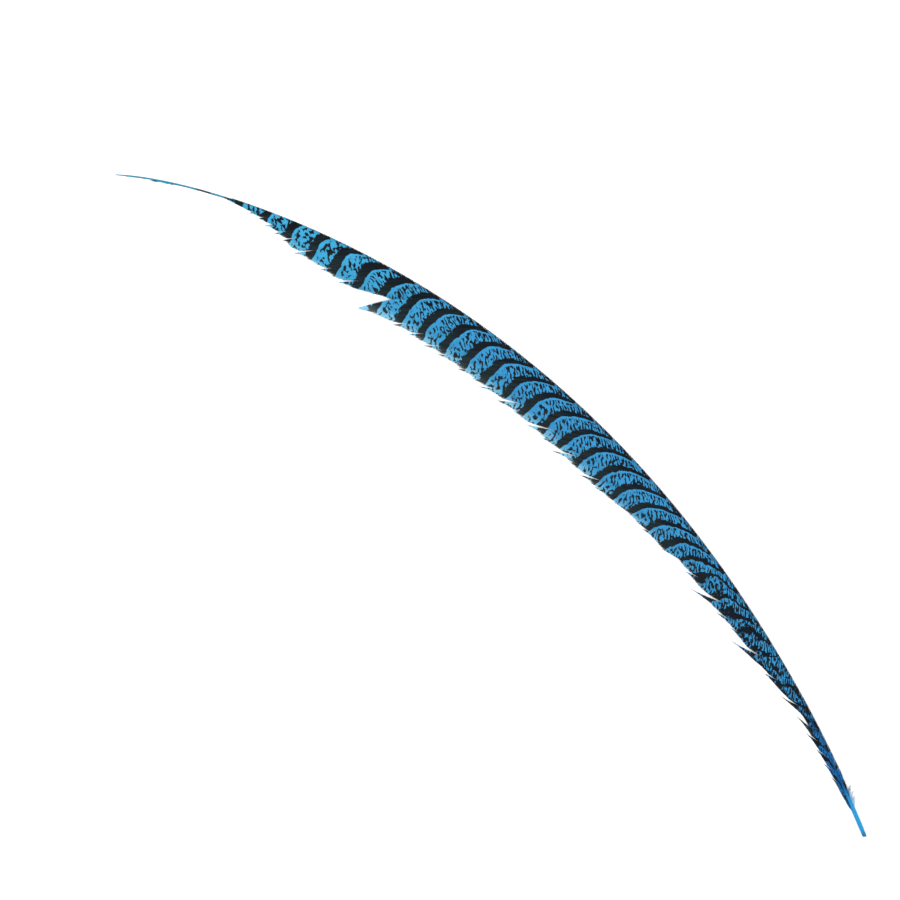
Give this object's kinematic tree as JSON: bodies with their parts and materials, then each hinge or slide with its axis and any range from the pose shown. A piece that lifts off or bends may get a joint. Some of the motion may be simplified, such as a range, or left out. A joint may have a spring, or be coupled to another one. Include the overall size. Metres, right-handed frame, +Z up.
{
  "type": "pheasant tail feather",
  "caption": "Long sabre-curved pheasant tail feather with a thin shaft, one wide barred web and a narrow folded web, dyed turquoise blue.",
  "frame": {"origin": "centre of the feather's box, on the surface that it lies on", "axes": "+X along the chord from the quill's cut end to the tip, +Y towards the hollow side of the curve, where the wide web's margin is, +Z up, out of the feather's upper side"},
  "size_m": [0.5738, 0.0784, 0.0041],
  "materials": {
    "shaft_keratin": "dyed keratin, smooth with a soft gloss, slightly translucent at the quill",
    "wide_web_barbs": "dyed turquoise feather web with near-black bars and fine wavy black lines, silky along the barbs",
    "narrow_web_barbs": "dyed dark blue and black feather web, folded down beside the shaft, with loose down at its base"
  },
  "bodies": {
    "root": {"shaft": "shaft_keratin", "wide_web": "wide_web_barbs", "narrow_web": "narrow_web_barbs"}
  },
  "joints": []
}
